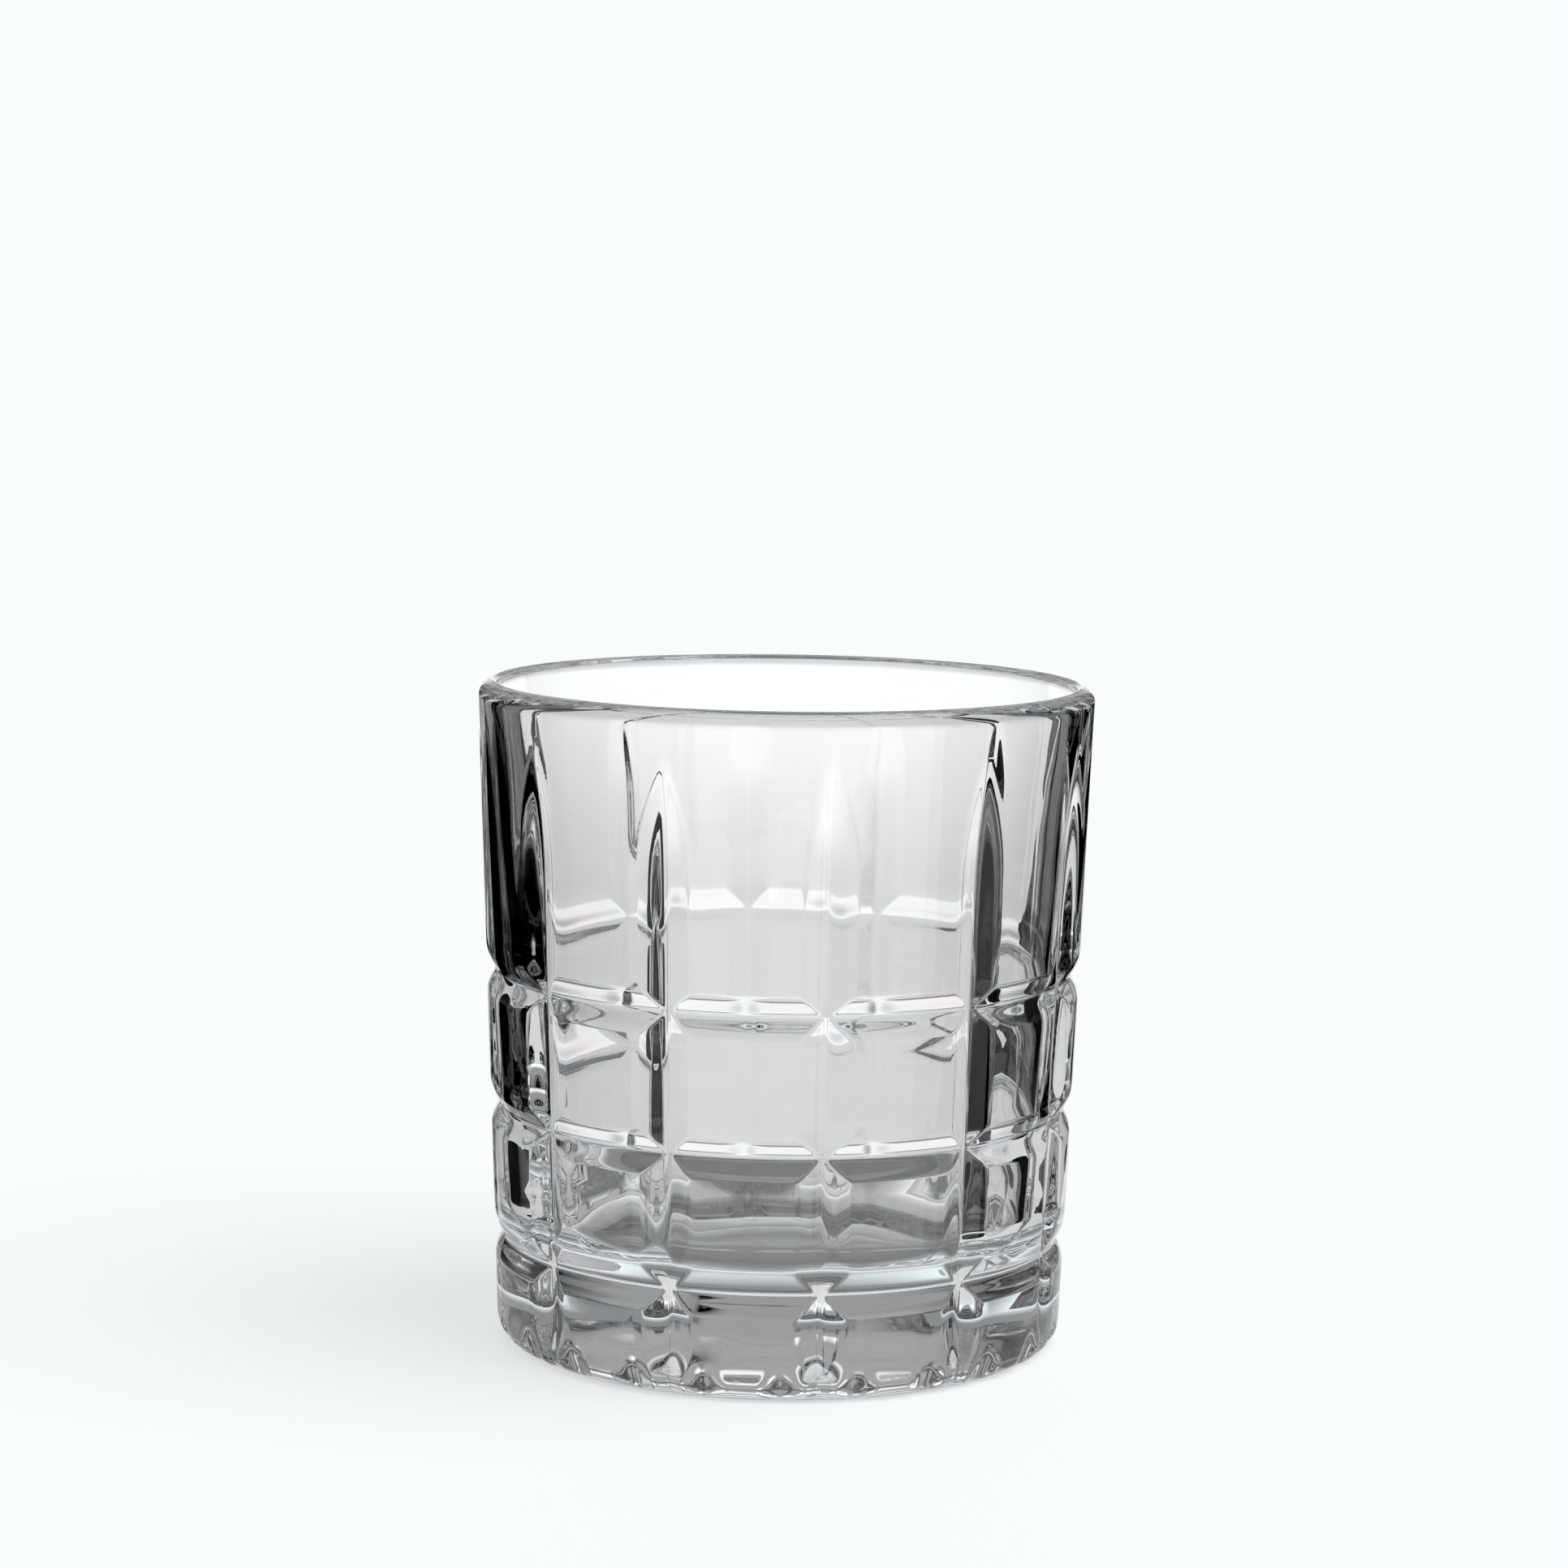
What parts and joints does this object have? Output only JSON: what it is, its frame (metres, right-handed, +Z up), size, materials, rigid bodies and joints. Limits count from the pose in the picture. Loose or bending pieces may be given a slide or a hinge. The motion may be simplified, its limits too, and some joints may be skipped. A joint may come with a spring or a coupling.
{
  "type": "whiskey tumbler",
  "caption": "Heavy-based whiskey tumbler in clear pressed glass, with V-grooves that frame square panels round the body and a thumb-cut foot.",
  "frame": {"origin": "centre of the base, on the plane that the glass stands on", "axes": "+Z up along the glass's own axis; an upright groove faces -Y"},
  "size_m": [0.0818, 0.0818, 0.0882],
  "materials": {
    "glass": "clear, fire-polished"
  },
  "bodies": {
    "root": {"glass_body": "glass"}
  },
  "joints": []
}
